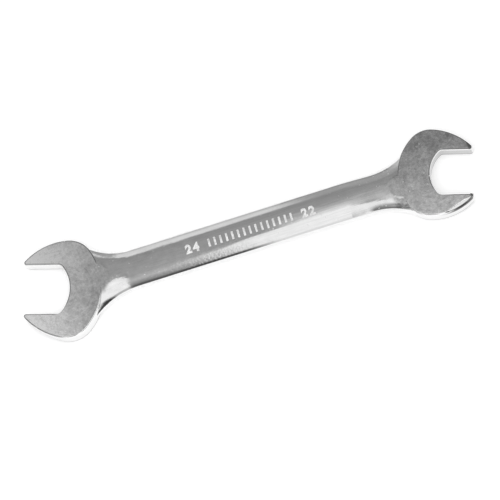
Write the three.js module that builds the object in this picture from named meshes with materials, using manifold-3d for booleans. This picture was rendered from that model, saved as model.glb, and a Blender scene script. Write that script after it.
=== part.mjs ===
// Double open end wrench, 24 mm and 22 mm across flats, as one drop forging.
// Millimetres. X runs along the shank from the large head to the small one, Z is up,
// and the wrench lies flat with the undersides of both heads at Z = 0.
import * as THREE from "three";
import { mergeVertices } from "three/addons/utils/BufferGeometryUtils.js";
import Module from "manifold-3d";

const wasm = await Module();
wasm.setup();

// Jaws: how much wider an opening is than its nut, and how far both are turned from the shank.
const jawPlay = 0.2;
const jawTurn = THREE.MathUtils.degToRad(17);

// Heads: both are ground to one thickness, with a small bevel round every edge of the faces.
const headThickness = 9.5;
const edgeBevel = 0.6;
const noseRadius = 1.1;
const rootCornerRadius = 2.8;

// Shank and necks.
const headSpacing = 182.3;
const shankWidth = 19.5;
const shankThickness = 7.8;
const neckInset = 0.3;

// How full a section is, along its breadth and along its height: 2 and 2 is an ellipse, and less
// than 2 makes a lens. On the lead jaw's side a neck slopes off like a lens.
const shankFullness = { breadth: 2.4, height: 2.4 };

// A head is drawn round its own centre with the slot opening along +x. The lead jaw lies
// towards +y and reaches farther along the wrench than the trail jaw towards -y.
// sideSet is how far the head's centre lies off the shank's centre line, towards the lead jaw.
// neckReach is how far from the head's centre the neck starts to thicken. The necks are forged
// thicker than the heads, by neckStock on each face, and the grinding takes that off level.
const largeHead = {
  acrossFlats: 24,
  width: 48.2,
  sideSet: 0.95,
  slotDepth: 1.1,
  slotRootRadius: 17.8,
  shoulderRadius: 13,
  backRadius: 31,
  leadReach: 20.9,
  leadJawRadius: 34,
  trailReach: 21.7,
  trailJawRadius: 30.5,
  leadNeckRadius: 42,
  trailNeckRadius: 27,
  leadNeckFullness: { breadth: 2.6, height: 1.6 },
  trailNeckFullness: { breadth: 2.4, height: 3.6 },
  neckReach: 31.6,
  neckStock: 0.2,
};
const smallHead = {
  acrossFlats: 22,
  width: 42.6,
  sideSet: 0.3,
  slotDepth: 0.15,
  slotRootRadius: 15.2,
  shoulderRadius: 12.2,
  backRadius: 26,
  leadReach: 19.8,
  leadJawRadius: 30,
  trailReach: 20.4,
  trailJawRadius: 27,
  leadNeckRadius: 38,
  trailNeckRadius: 36,
  leadNeckFullness: { breadth: 2.6, height: 1.4 },
  trailNeckFullness: { breadth: 4, height: 3.6 },
  neckReach: 42,
  neckStock: 0.1,
};

// The flat ground on the top outer edge of the small head's trail jaw, from the jaw's broadest
// place to its nose.
const grindWidth = 2.6;
const grindDepth = 1.3;
const grindOverrun = 6;

// How finely curves are cut into flats.
const arcSteps = 6;
const neckRings = 24;
const shankRings = 6;
const sectionSides = 48;

// Corners of the joined forging that lie closer together than this become one.
const mergeSpan = 0.002;

function vec(x, y) {
  return new THREE.Vector2(x, y);
}

function angleFrom(a, b) {
  return Math.atan2(b.y - a.y, b.x - a.x);
}

// The place at the given distances from two points, on the right hand going from a to b.
function atDistances(a, distanceA, b, distanceB) {
  const apart = a.distanceTo(b);
  const along = (apart ** 2 + distanceA ** 2 - distanceB ** 2) / (2 * apart);
  const aside = Math.sqrt(Math.max(distanceA ** 2 - along ** 2, 0));
  const ahead = b.clone().sub(a).normalize();
  return vec(a.x + ahead.x * along + ahead.y * aside, a.y + ahead.y * along - ahead.x * aside);
}

// Centres and arc limits of one head, in its own frame.
function headLayout(head) {
  const halfGap = (head.acrossFlats + jawPlay) / 2;
  const leadShoulder = vec(0, head.width / 2 - head.shoulderRadius);
  const trailShoulder = vec(0, head.shoulderRadius - head.width / 2);
  const back = vec(Math.sqrt((head.backRadius - head.shoulderRadius) ** 2 - leadShoulder.y ** 2), 0);
  const leadNose = vec(head.leadReach - noseRadius, halfGap + noseRadius);
  const trailNose = vec(head.trailReach - noseRadius, -halfGap - noseRadius);
  const leadJaw = atDistances(
    leadShoulder,
    head.leadJawRadius - head.shoulderRadius,
    leadNose,
    head.leadJawRadius - noseRadius,
  );
  const trailJaw = atDistances(
    trailNose,
    head.trailJawRadius - noseRadius,
    trailShoulder,
    head.trailJawRadius - head.shoulderRadius,
  );
  const root = vec(head.slotRootRadius - head.slotDepth, 0);
  const cornerY = halfGap - rootCornerRadius;
  const cornerX = root.x - Math.sqrt((head.slotRootRadius - rootCornerRadius) ** 2 - cornerY ** 2);
  return {
    halfGap,
    leadShoulder,
    trailShoulder,
    back,
    leadNose,
    trailNose,
    leadJaw,
    trailJaw,
    root,
    corner: vec(cornerX, cornerY),
  };
}

// Outline of a head with its slot: out along the lead jaw's wall, round the outside, back in
// along the trail jaw's wall and round the root of the slot.
function headOutline(head) {
  const at = headLayout(head);
  const rightAngle = Math.PI / 2;
  const shape = new THREE.Shape();
  shape.moveTo(at.corner.x, at.halfGap);
  shape.lineTo(at.leadNose.x, at.halfGap);
  const leadTip = angleFrom(at.leadJaw, at.leadNose);
  shape.absarc(at.leadNose.x, at.leadNose.y, noseRadius, -rightAngle, leadTip);
  const leadCrown = angleFrom(at.leadJaw, at.leadShoulder);
  shape.absarc(at.leadJaw.x, at.leadJaw.y, head.leadJawRadius, leadTip, leadCrown);
  const leadBack = angleFrom(at.back, at.leadShoulder);
  shape.absarc(0, at.leadShoulder.y, head.shoulderRadius, leadCrown, leadBack);
  shape.absarc(at.back.x, 0, head.backRadius, leadBack, -leadBack);
  const trailCrown = angleFrom(at.trailJaw, at.trailShoulder);
  shape.absarc(0, at.trailShoulder.y, head.shoulderRadius, -leadBack, trailCrown);
  const trailTip = angleFrom(at.trailJaw, at.trailNose);
  shape.absarc(at.trailJaw.x, at.trailJaw.y, head.trailJawRadius, trailCrown, trailTip);
  shape.absarc(at.trailNose.x, at.trailNose.y, noseRadius, trailTip, rightAngle);
  shape.lineTo(at.corner.x, -at.halfGap);
  const rootEnd = angleFrom(at.root, at.corner);
  shape.absarc(at.corner.x, -at.corner.y, rootCornerRadius, -rightAngle, -rootEnd, true);
  shape.absarc(at.root.x, 0, head.slotRootRadius, -rootEnd, rootEnd, true);
  shape.absarc(at.corner.x, at.corner.y, rootCornerRadius, rootEnd, rightAngle, true);
  return shape;
}

// The head's plate, still in the head's own frame, with its middle plane at z = 0.
function headPlate(head) {
  const plate = new THREE.ExtrudeGeometry(headOutline(head), {
    depth: headThickness - 2 * edgeBevel,
    curveSegments: arcSteps,
    bevelEnabled: true,
    bevelThickness: edgeBevel,
    bevelSize: edgeBevel,
    bevelOffset: -edgeBevel,
    bevelSegments: 1,
  });
  plate.translate(0, 0, edgeBevel - headThickness / 2);
  return plate;
}

// Where a head sits in the plan of the wrench: end is -1 for the large head, 1 for the small one.
function headPlace(head, end) {
  return {
    end,
    turn: end < 0 ? Math.PI - jawTurn : -jawTurn,
    centre: vec((end * headSpacing) / 2, end * head.sideSet),
  };
}

function toPlan(point, place) {
  return point.clone().rotateAround(vec(0, 0), place.turn).add(place.centre);
}

// One side of a neck in plan: the hollow curve that runs from the shank's edge into the head,
// as a function that gives the edge's distance from the centre line for a place along X.
function neckSide(head, place, isLead) {
  const at = headLayout(head);
  const side = isLead ? place.end : -place.end;
  const hollowRadius = isLead ? head.leadNeckRadius : head.trailNeckRadius;
  const bodyRadius = isLead ? head.backRadius : head.shoulderRadius;
  const body = toPlan(isLead ? at.back : at.trailShoulder, place);
  const hollowY = side * (shankWidth / 2 + hollowRadius);
  const reach = Math.sqrt((bodyRadius + hollowRadius) ** 2 - (hollowY - body.y) ** 2);
  const hollowX = body.x - place.end * reach;
  const meetX = body.x + ((hollowX - body.x) * bodyRadius) / (bodyRadius + hollowRadius);
  function edge(x) {
    if ((x - hollowX) * place.end <= 0) return (side * shankWidth) / 2;
    if ((x - meetX) * place.end <= 0) {
      return hollowY - side * Math.sqrt(hollowRadius ** 2 - (x - hollowX) ** 2);
    }
    const insetRadius = bodyRadius - neckInset * Math.min(1, Math.abs(x - meetX) / neckInset);
    return body.y + side * Math.sqrt(Math.max(insetRadius ** 2 - (x - body.x) ** 2, 0));
  }
  return { edge, startX: hollowX };
}

// One end of the shank: its two plan edges, where it leaves its even section, where it starts to
// thicken, where it is full at the back of the head, and where it stops inside the head.
function neckEnd({ head, place }) {
  const lead = neckSide(head, place, true);
  const trail = neckSide(head, place, false);
  const backReach = head.backRadius - headLayout(head).back.x;
  const leadSide = { edge: lead.edge, fullness: head.leadNeckFullness };
  const trailSide = { edge: trail.edge, fullness: head.trailNeckFullness };
  const swellX = place.centre.x - place.end * head.neckReach;
  const starts = [lead.startX, trail.startX, swellX];
  return {
    sides: place.end < 0 ? [leadSide, trailSide] : [trailSide, leadSide],
    thickness: headThickness + 2 * head.neckStock,
    startX: place.end * Math.min(...starts.map((x) => Math.abs(x))),
    swellX,
    fullX: place.centre.x - place.end * backReach,
    stopX: place.centre.x - (place.end * head.shoulderRadius) / 2,
  };
}

// Shank and both necks as one lofted body. Each section has its crown on the shank's centre line
// and its own breadth and fullness on either side of it.
function shankBody(low, high) {
  const { lerp, smoothstep } = THREE.MathUtils;
  const rings = 2 * neckRings + shankRings;
  const ringPlaces = [];
  for (let ring = 0; ring <= rings; ring += 1) {
    if (ring <= neckRings) {
      ringPlaces.push(lerp(low.stopX, low.startX, ring / neckRings));
    } else if (ring <= neckRings + shankRings) {
      ringPlaces.push(lerp(low.startX, high.startX, (ring - neckRings) / shankRings));
    } else {
      const share = (ring - neckRings - shankRings) / neckRings;
      ringPlaces.push(lerp(high.startX, high.stopX, share));
    }
  }
  const body = new THREE.CylinderGeometry(1, 1, 1, sectionSides, rings);
  const spots = body.getAttribute("position");
  for (let i = 0; i < spots.count; i += 1) {
    const x = ringPlaces[Math.round((spots.getY(i) + 1 / 2) * rings)];
    const end = x < 0 ? low : high;
    const side = end.sides[spots.getX(i) < 0 ? 0 : 1];
    const swell = smoothstep(Math.abs(x), Math.abs(end.swellX), Math.abs(end.fullX));
    const thickness = lerp(shankThickness, end.thickness, swell);
    const shift = Math.sqrt(swell);
    const breadthFullness = lerp(shankFullness.breadth, side.fullness.breadth, shift);
    const heightFullness = lerp(shankFullness.height, side.fullness.height, shift);
    spots.setXYZ(
      i,
      x,
      Math.abs(side.edge(x)) * fullOval(spots.getX(i), breadthFullness),
      (-thickness / 2) * fullOval(spots.getZ(i), heightFullness),
    );
  }
  return body;
}

// Coordinate of a unit circle made into that of a squarer or leaner oval.
function fullOval(coordinate, fullness) {
  return Math.sign(coordinate) * Math.abs(coordinate) ** (2 / fullness);
}

// Block that the grinding takes off the small head's trail jaw, in the head's own frame.
function grindBlock(head) {
  const at = headLayout(head);
  const crown = vec(at.trailShoulder.x + head.shoulderRadius / 2, -head.width / 2 + edgeBevel);
  const nose = vec(head.trailReach - noseRadius, -at.halfGap - edgeBevel);
  const length = crown.distanceTo(nose) + 2 * grindOverrun;
  const slope = Math.atan2(grindDepth, grindWidth);
  const block = new THREE.BoxGeometry(length, 2 * grindOverrun, grindOverrun);
  block.translate(0, -grindOverrun, grindOverrun / 2);
  block.rotateX(slope);
  block.rotateZ(angleFrom(crown, nose));
  block.translate((crown.x + nose.x) / 2, (crown.y + nose.y) / 2, headThickness / 2);
  return block;
}

// A closed geometry as a solid that can be joined and cut.
function solidOf(geometry) {
  const bare = geometry.clone();
  bare.deleteAttribute("normal");
  bare.deleteAttribute("uv");
  const merged = mergeVertices(bare);
  return new wasm.Manifold(
    new wasm.Mesh({
      numProp: 3,
      vertProperties: new Float32Array(merged.getAttribute("position").array),
      triVerts: new Uint32Array(merged.index.array),
    }),
  );
}

function geometryOf(solid) {
  const mesh = solid.getMesh();
  const geometry = new THREE.BufferGeometry();
  geometry.setAttribute("position", new THREE.BufferAttribute(mesh.vertProperties, mesh.numProp));
  geometry.setIndex(new THREE.BufferAttribute(mesh.triVerts, 1));
  geometry.computeVertexNormals();
  return geometry;
}

function placed(geometry, place) {
  return geometry.rotateZ(place.turn).translate(place.centre.x, place.centre.y, 0);
}

// The whole forging, moved so that the middle of its plan is at the origin and it lies on Z = 0.
function wrenchForging() {
  const largePlace = headPlace(largeHead, -1);
  const smallPlace = headPlace(smallHead, 1);
  const shank = shankBody(
    neckEnd({ head: largeHead, place: largePlace }),
    neckEnd({ head: smallHead, place: smallPlace }),
  );
  const forging = solidOf(shank)
    .trimByPlane([0, 0, -1], -headThickness / 2)
    .trimByPlane([0, 0, 1], -headThickness / 2)
    .add(solidOf(placed(headPlate(largeHead), largePlace)))
    .add(solidOf(placed(headPlate(smallHead), smallPlace)))
    .subtract(solidOf(placed(grindBlock(smallHead), smallPlace)))
    .simplify(mergeSpan);
  const geometry = geometryOf(forging);
  geometry.computeBoundingBox();
  const middle = geometry.boundingBox.getCenter(new THREE.Vector3());
  return geometry.translate(-middle.x, -middle.y, headThickness / 2);
}

const chromedSteel = new THREE.MeshStandardMaterial({
  color: 0xb4b6b8,
  roughness: 0.18,
  metalness: 1,
});

const wrench = new THREE.Group();
const forging = new THREE.Mesh(wrenchForging(), chromedSteel);
forging.name = "wrench_forging";
wrench.add(forging);

export default wrench;
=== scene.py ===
"""Looks of a double open end wrench: a chrome plated drop forging with ground head faces.

The forging is drawn again here with fine curves, rounded edges and raised jaw sizes. It stands for
the frame's one node. Sizes are in millimetres and are turned into metres by mm.
"""
import math

import bmesh
import bpy
from mathutils import Matrix, Vector


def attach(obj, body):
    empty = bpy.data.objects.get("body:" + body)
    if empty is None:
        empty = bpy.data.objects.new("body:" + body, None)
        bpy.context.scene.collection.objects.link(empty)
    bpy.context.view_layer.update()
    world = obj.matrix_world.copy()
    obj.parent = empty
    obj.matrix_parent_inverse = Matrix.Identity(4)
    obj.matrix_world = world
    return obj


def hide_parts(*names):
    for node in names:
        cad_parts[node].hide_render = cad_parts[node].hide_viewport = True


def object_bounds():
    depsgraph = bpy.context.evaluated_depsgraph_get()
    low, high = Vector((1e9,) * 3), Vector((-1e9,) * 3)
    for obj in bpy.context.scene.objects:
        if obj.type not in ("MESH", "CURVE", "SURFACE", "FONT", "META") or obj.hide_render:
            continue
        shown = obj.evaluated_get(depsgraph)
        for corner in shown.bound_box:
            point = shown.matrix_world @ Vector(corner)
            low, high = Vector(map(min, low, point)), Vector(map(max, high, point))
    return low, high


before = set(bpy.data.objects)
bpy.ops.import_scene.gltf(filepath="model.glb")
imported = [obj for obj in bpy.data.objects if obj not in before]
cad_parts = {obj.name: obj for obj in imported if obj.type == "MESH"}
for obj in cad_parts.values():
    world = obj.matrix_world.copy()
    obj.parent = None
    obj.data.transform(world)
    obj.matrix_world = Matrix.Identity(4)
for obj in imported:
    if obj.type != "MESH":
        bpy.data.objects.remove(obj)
cad_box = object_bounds()
mm = 0.001

# Sizes of the forging, as the frame has them.
JAW_PLAY = 0.2
JAW_TURN = math.radians(17)
HEAD_THICKNESS = 9.5
EDGE_ROUND = 0.6
NOSE_RADIUS = 1.1
ROOT_CORNER_RADIUS = 2.8
HEAD_SPACING = 182.3
SHANK_WIDTH = 19.5
SHANK_THICKNESS = 7.8
NECK_INSET = 0.3

# How full a section is along its breadth and along its height.
SHANK_FULLNESS = (2.4, 2.4)

# A head is drawn round its own centre with the slot opening along +x. The lead jaw lies towards
# +y and reaches farther along the wrench than the trail jaw.
LARGE_HEAD = {
    "across_flats": 24,
    "width": 48.2,
    "side_set": 0.95,
    "slot_depth": 1.1,
    "slot_root_radius": 17.8,
    "shoulder_radius": 13,
    "back_radius": 31,
    "lead_reach": 20.9,
    "lead_jaw_radius": 34,
    "trail_reach": 21.7,
    "trail_jaw_radius": 30.5,
    "lead_neck_radius": 42,
    "trail_neck_radius": 27,
    "lead_neck_fullness": (2.6, 1.6),
    "trail_neck_fullness": (2.4, 3.6),
    "neck_reach": 31.6,
    "neck_stock": 0.2,
}
SMALL_HEAD = {
    "across_flats": 22,
    "width": 42.6,
    "side_set": 0.3,
    "slot_depth": 0.15,
    "slot_root_radius": 15.2,
    "shoulder_radius": 12.2,
    "back_radius": 26,
    "lead_reach": 19.8,
    "lead_jaw_radius": 30,
    "trail_reach": 20.4,
    "trail_jaw_radius": 27,
    "lead_neck_radius": 38,
    "trail_neck_radius": 36,
    "lead_neck_fullness": (2.6, 1.4),
    "trail_neck_fullness": (4, 3.6),
    "neck_reach": 42,
    "neck_stock": 0.1,
}

# The flat ground on the top outer edge of the small head's trail jaw.
GRIND_WIDTH = 2.6
GRIND_DEPTH = 1.3
GRIND_EDGE_ROUND = 0.8

# How finely curves are drawn. An oval's reach is found by halvings, from more than any oval has.
ARC_STEP = 0.5
EDGE_STEPS = 4
SECTION_SIDES = 128
NECK_RINGS = 56
SHANK_RINGS = 24
FARTHEST_OVAL = 2
REACH_HALVINGS = 32

# Corners of an outline or a figure that lie closer together than this become one, and a cut takes
# corners as lying on its plane when they are this near to it.
OUTLINE_MERGE = 0.005
FIGURE_MERGE = 0.0005
GRIND_CUT_SPAN = 0.0005
LEVEL_CUT_SPAN = 0.00005

# Edges that turn by more than the first two are rounded. Faces that meet at less than the last two
# are shaded as one surface, in which the large faces set the direction.
PLATE_EDGE_ANGLE = math.radians(45)
GRIND_EDGE_ANGLE = math.radians(30)
SKIN_SMOOTH_ANGLE = math.radians(28)
FIGURE_SMOOTH_ANGLE = math.radians(50)
LARGE_FACE_WEIGHT = 100

# The finished skin is scaled by this, so that it stays just inside the frame's box.
INSIDE_SHARE = 0.99999

# Raised jaw sizes along the top of the shank: a number by each head and a row of bars between.
FIGURE_ROW = (-31.4, 33.6)
FIGURE_HEIGHT = 4.0
FIGURE_STROKE = 0.17
FIGURE_PROUD = 0.3
FIGURE_SUNK = 0.6
FIGURE_ROUND = 0.12
FIGURE_ROUND_STEPS = 2
FIGURE_CURVE_STEPS = 6
FIGURE_SPACING = 1.3
FONT_FIGURE_SHARE = 0.69
FIGURE_LEFT = "24"
FIGURE_RIGHT = "22"
BAR_COUNT = 15
BAR_WIDTH = 1.05
BAR_ROW = (-19.5, 21.7)

# Which kind of surface a face has while the pieces are joined.
PLAIN, ROUNDED = range(2)


# Layout of a head, the same as the frame's.


def vec(x, y):
    return Vector((x, y, 0))


def angle_from(a, b):
    return math.atan2(b.y - a.y, b.x - a.x)


def at_distances(a, distance_a, b, distance_b):
    """The place at the given distances from two points, on the right hand going from a to b."""
    apart = (b - a).length
    along = (apart**2 + distance_a**2 - distance_b**2) / (2 * apart)
    aside = math.sqrt(max(distance_a**2 - along**2, 0))
    ahead = (b - a).normalized()
    return vec(a.x + ahead.x * along + ahead.y * aside, a.y + ahead.y * along - ahead.x * aside)


def head_layout(head):
    """Centres of one head's arcs, in its own frame."""
    half_gap = (head["across_flats"] + JAW_PLAY) / 2
    shoulder = head["shoulder_radius"]
    lead_shoulder = vec(0, head["width"] / 2 - shoulder)
    trail_shoulder = vec(0, shoulder - head["width"] / 2)
    back = vec(math.sqrt((head["back_radius"] - shoulder) ** 2 - lead_shoulder.y**2), 0)
    lead_nose = vec(head["lead_reach"] - NOSE_RADIUS, half_gap + NOSE_RADIUS)
    trail_nose = vec(head["trail_reach"] - NOSE_RADIUS, -half_gap - NOSE_RADIUS)
    lead_jaw = at_distances(
        lead_shoulder,
        head["lead_jaw_radius"] - shoulder,
        lead_nose,
        head["lead_jaw_radius"] - NOSE_RADIUS,
    )
    trail_jaw = at_distances(
        trail_nose,
        head["trail_jaw_radius"] - NOSE_RADIUS,
        trail_shoulder,
        head["trail_jaw_radius"] - shoulder,
    )
    root = vec(head["slot_root_radius"] - head["slot_depth"], 0)
    corner_y = half_gap - ROOT_CORNER_RADIUS
    corner_reach = head["slot_root_radius"] - ROOT_CORNER_RADIUS
    corner = vec(root.x - math.sqrt(corner_reach**2 - corner_y**2), corner_y)
    return {
        "half_gap": half_gap,
        "lead_shoulder": lead_shoulder,
        "trail_shoulder": trail_shoulder,
        "back": back,
        "lead_nose": lead_nose,
        "trail_nose": trail_nose,
        "lead_jaw": lead_jaw,
        "trail_jaw": trail_jaw,
        "root": root,
        "corner": corner,
    }


def head_place(head, end):
    """Turn and centre of a head in plan. End is -1 for the large head and 1 for the small one."""
    turn = math.pi - JAW_TURN if end < 0 else -JAW_TURN
    return {"end": end, "turn": turn, "centre": vec(end * HEAD_SPACING / 2, end * head["side_set"])}


def to_plan(point, place):
    return Matrix.Rotation(place["turn"], 3, "Z") @ point + place["centre"]


# Drawing an outline with a pen: each stroke starts at the pen's vertex and gives the next one.


def draw_line(bm, pen, x, y):
    made = bmesh.ops.extrude_vert_indiv(bm, verts=[pen])
    made["verts"][0].co = vec(x, y)
    return made["verts"][0]


def draw_arc(bm, pen, centre, end_angle, clockwise=False):
    """An arc from the pen's place to an angle seen from the arc's centre."""
    radius = (pen.co - centre).length
    start_angle = angle_from(centre, pen.co)
    sweep = (end_angle - start_angle) % math.tau
    if clockwise:
        sweep -= math.tau
    steps = max(3, math.ceil(abs(sweep) * radius / ARC_STEP))
    made = bmesh.ops.spin(
        bm,
        geom=[pen],
        cent=centre,
        axis=(0, 0, 1),
        angle=sweep,
        steps=steps,
        use_duplicate=False,
    )
    return next(part for part in made["geom_last"] if isinstance(part, bmesh.types.BMVert))


def head_outline(bm, head):
    """Out along the lead jaw's wall, round the outside, back along the other, round the root."""
    at = head_layout(head)
    quarter = math.pi / 2
    pen = bm.verts.new(vec(at["corner"].x, at["half_gap"]))
    pen = draw_line(bm, pen, at["lead_nose"].x, at["half_gap"])
    pen = draw_arc(bm, pen, at["lead_nose"], angle_from(at["lead_jaw"], at["lead_nose"]))
    pen = draw_arc(bm, pen, at["lead_jaw"], angle_from(at["lead_jaw"], at["lead_shoulder"]))
    lead_back = angle_from(at["back"], at["lead_shoulder"])
    pen = draw_arc(bm, pen, at["lead_shoulder"], lead_back)
    pen = draw_arc(bm, pen, at["back"], -lead_back)
    pen = draw_arc(bm, pen, at["trail_shoulder"], angle_from(at["trail_jaw"], at["trail_shoulder"]))
    pen = draw_arc(bm, pen, at["trail_jaw"], angle_from(at["trail_jaw"], at["trail_nose"]))
    pen = draw_arc(bm, pen, at["trail_nose"], quarter)
    pen = draw_line(bm, pen, at["corner"].x, -at["half_gap"])
    root_end = angle_from(at["root"], at["corner"])
    low_corner = vec(at["corner"].x, -at["corner"].y)
    pen = draw_arc(bm, pen, low_corner, -root_end, clockwise=True)
    pen = draw_arc(bm, pen, at["root"], root_end, clockwise=True)
    draw_arc(bm, pen, at["corner"], quarter, clockwise=True)
    bmesh.ops.remove_doubles(bm, verts=bm.verts, dist=OUTLINE_MERGE)


def cut_grind(bm, head):
    """Takes the ground flat off the top outer edge of the trail jaw and closes the cut."""
    at = head_layout(head)
    crown_x = at["trail_shoulder"].x + head["shoulder_radius"] / 2
    crown = vec(crown_x, -head["width"] / 2 + EDGE_ROUND)
    nose = vec(head["trail_reach"] - NOSE_RADIUS, -at["half_gap"] - EDGE_ROUND)
    along = (nose - crown).normalized()
    outward = along.cross(Vector((0, 0, 1)))
    normal = outward * GRIND_DEPTH + Vector((0, 0, 1)) * GRIND_WIDTH
    cut = bmesh.ops.bisect_plane(
        bm,
        geom=bm.verts[:] + bm.edges[:] + bm.faces[:],
        dist=GRIND_CUT_SPAN,
        plane_co=(crown + nose) / 2 + Vector((0, 0, HEAD_THICKNESS / 2)),
        plane_no=normal,
        clear_outer=True,
    )
    rim = [part for part in cut["geom_cut"] if isinstance(part, bmesh.types.BMEdge)]
    made = bmesh.ops.contextual_create(bm, geom=rim)
    for face in made["faces"]:
        face.material_index = PLAIN


def round_edges(bm, least_angle, size):
    """Rounds every edge that is sharper than an angle, and marks the new faces.

    The parts are numbered afresh first, because a cut leaves that undone and bevel goes by it, and
    without it two runs differ.
    """
    for parts in (bm.verts, bm.edges, bm.faces):
        parts.index_update()
    made = bmesh.ops.bevel(
        bm,
        geom=[edge for edge in bm.edges if edge.calc_face_angle(0) > least_angle],
        offset=size,
        offset_type="OFFSET",
        segments=EDGE_STEPS,
        profile=0.5,
        affect="EDGES",
        material=-1,
    )
    for face in made["faces"]:
        face.material_index = ROUNDED


def head_plate(head, ground=False):
    """The head's plate with rounded edges, in its own frame, middle plane at z = 0."""
    bm = bmesh.new()
    head_outline(bm, head)
    made = bmesh.ops.contextual_create(bm, geom=bm.edges[:])
    raised = bmesh.ops.extrude_face_region(bm, geom=made["faces"])
    top = [part for part in raised["geom"] if isinstance(part, bmesh.types.BMVert)]
    bmesh.ops.translate(bm, verts=top, vec=(0, 0, HEAD_THICKNESS))
    bmesh.ops.translate(bm, verts=bm.verts, vec=(0, 0, -HEAD_THICKNESS / 2))
    bmesh.ops.recalc_face_normals(bm, faces=bm.faces)
    round_edges(bm, PLATE_EDGE_ANGLE, EDGE_ROUND)
    if ground:
        cut_grind(bm, head)
        bmesh.ops.recalc_face_normals(bm, faces=bm.faces)
        round_edges(bm, GRIND_EDGE_ANGLE, GRIND_EDGE_ROUND)
    return bm


# The shank with its necks.


def neck_side(head, place, is_lead):
    """Plan edge of one side of a neck, from the shank's straight edge into the head's outline."""
    at = head_layout(head)
    side = place["end"] if is_lead else -place["end"]
    hollow_radius = head["lead_neck_radius"] if is_lead else head["trail_neck_radius"]
    body_radius = head["back_radius"] if is_lead else head["shoulder_radius"]
    body = to_plan(at["back"] if is_lead else at["trail_shoulder"], place)
    hollow_y = side * (SHANK_WIDTH / 2 + hollow_radius)
    reach = math.sqrt((body_radius + hollow_radius) ** 2 - (hollow_y - body.y) ** 2)
    hollow_x = body.x - place["end"] * reach
    meet_x = body.x + (hollow_x - body.x) * body_radius / (body_radius + hollow_radius)

    def edge(x):
        if (x - hollow_x) * place["end"] <= 0:
            return side * SHANK_WIDTH / 2
        if (x - meet_x) * place["end"] <= 0:
            return hollow_y - side * math.sqrt(hollow_radius**2 - (x - hollow_x) ** 2)
        inset_radius = body_radius - NECK_INSET * min(1, abs(x - meet_x) / NECK_INSET)
        return body.y + side * math.sqrt(max(inset_radius**2 - (x - body.x) ** 2, 0))

    return edge, hollow_x


def neck_end(head, place):
    """One end of the shank: its sides, and where it starts, swells, is full and stops."""
    lead_edge, lead_start = neck_side(head, place, True)
    trail_edge, trail_start = neck_side(head, place, False)
    lead = (lead_edge, head["lead_neck_fullness"])
    trail = (trail_edge, head["trail_neck_fullness"])
    swell_start = place["centre"].x - place["end"] * head["neck_reach"]
    back_reach = head["back_radius"] - head_layout(head)["back"].x
    return {
        "low": lead if place["end"] < 0 else trail,
        "high": trail if place["end"] < 0 else lead,
        "start": place["end"] * min(abs(lead_start), abs(trail_start), abs(swell_start)),
        "swell": swell_start,
        "full": place["centre"].x - place["end"] * back_reach,
        "stop": place["centre"].x - place["end"] * head["shoulder_radius"] / 2,
        "thickness": HEAD_THICKNESS + 2 * head["neck_stock"],
    }


def smooth_share(value, low, high):
    share = min(max((value - low) / (high - low), 0), 1)
    return share * share * (3 - 2 * share)


def mix(a, b, share):
    return a + (b - a) * share


def oval_reach(across, up, breadth, height):
    """How far a direction runs before it meets an oval of the given fullness."""
    near, far = 0, FARTHEST_OVAL
    for _ in range(REACH_HALVINGS):
        reach = (near + far) / 2
        if (abs(across) * reach) ** breadth + (abs(up) * reach) ** height < 1:
            near = reach
        else:
            far = reach
    return near


def section_ring(bm, x, end):
    """One section of the shank: its crown lies on the centre line, and its sides differ."""
    swell = smooth_share(abs(x), abs(end["swell"]), abs(end["full"]))
    half_thickness = mix(SHANK_THICKNESS, end["thickness"], swell) / 2
    shift = math.sqrt(swell)
    ring = bmesh.ops.create_circle(bm, segments=SECTION_SIDES, radius=1)["verts"]
    for vert in ring:
        across, up = vert.co.x, vert.co.y
        edge, fullness = end["low"] if across < 0 else end["high"]
        breadth = mix(SHANK_FULLNESS[0], fullness[0], shift)
        height = mix(SHANK_FULLNESS[1], fullness[1], shift)
        reach = oval_reach(across, up, breadth, height)
        vert.co = (x, abs(edge(x)) * across * reach, half_thickness * up * reach)
    return ring


def ring_places(large_end, small_end):
    """Where the sections lie: close together in the necks, wider apart along the shank."""
    spans = (
        (large_end["stop"], large_end["start"], NECK_RINGS),
        (large_end["start"], small_end["start"], SHANK_RINGS),
        (small_end["start"], small_end["stop"], NECK_RINGS),
    )
    places = [large_end["stop"]]
    for first, last, count in spans:
        places += [mix(first, last, step / count) for step in range(1, count + 1)]
    return places


def edges_in_order(ring):
    """The edges of a ring, always in the same order, so that every run bridges them alike."""
    return list(dict.fromkeys(edge for vert in ring for edge in vert.link_edges))


def shank_body(large_end, small_end):
    bm = bmesh.new()
    rings = [
        section_ring(bm, x, large_end if x < 0 else small_end)
        for x in ring_places(large_end, small_end)
    ]
    loops = [edges_in_order(ring) for ring in rings]
    for near, far in zip(loops, loops[1:]):
        bmesh.ops.bridge_loops(bm, edges=near + far)
    for loop in (loops[0], loops[-1]):
        bmesh.ops.contextual_create(bm, geom=loop)
    for side in (-1, 1):
        grind_level(bm, side)
    bmesh.ops.recalc_face_normals(bm, faces=bm.faces)
    return bm


def grind_level(bm, side):
    """Takes the necks' stock off level with one face of the heads, and closes the cuts."""
    cut = bmesh.ops.bisect_plane(
        bm,
        geom=bm.verts[:] + bm.edges[:] + bm.faces[:],
        dist=LEVEL_CUT_SPAN,
        plane_co=(0, 0, side * HEAD_THICKNESS / 2),
        plane_no=(0, 0, side),
        clear_outer=True,
    )
    rim = [part for part in cut["geom_cut"] if isinstance(part, bmesh.types.BMEdge)]
    bmesh.ops.holes_fill(bm, edges=rim, sides=0)


# Joining the pieces of the forging into one skin.


def blank_from(bm, name):
    """A temporary object that holds a mesh while pieces are joined."""
    mesh = bpy.data.meshes.new(name)
    bm.to_mesh(mesh)
    bm.free()
    for _ in (PLAIN, ROUNDED):
        mesh.materials.append(None)
    blank = bpy.data.objects.new(name, mesh)
    bpy.context.scene.collection.objects.link(blank)
    return blank


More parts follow.
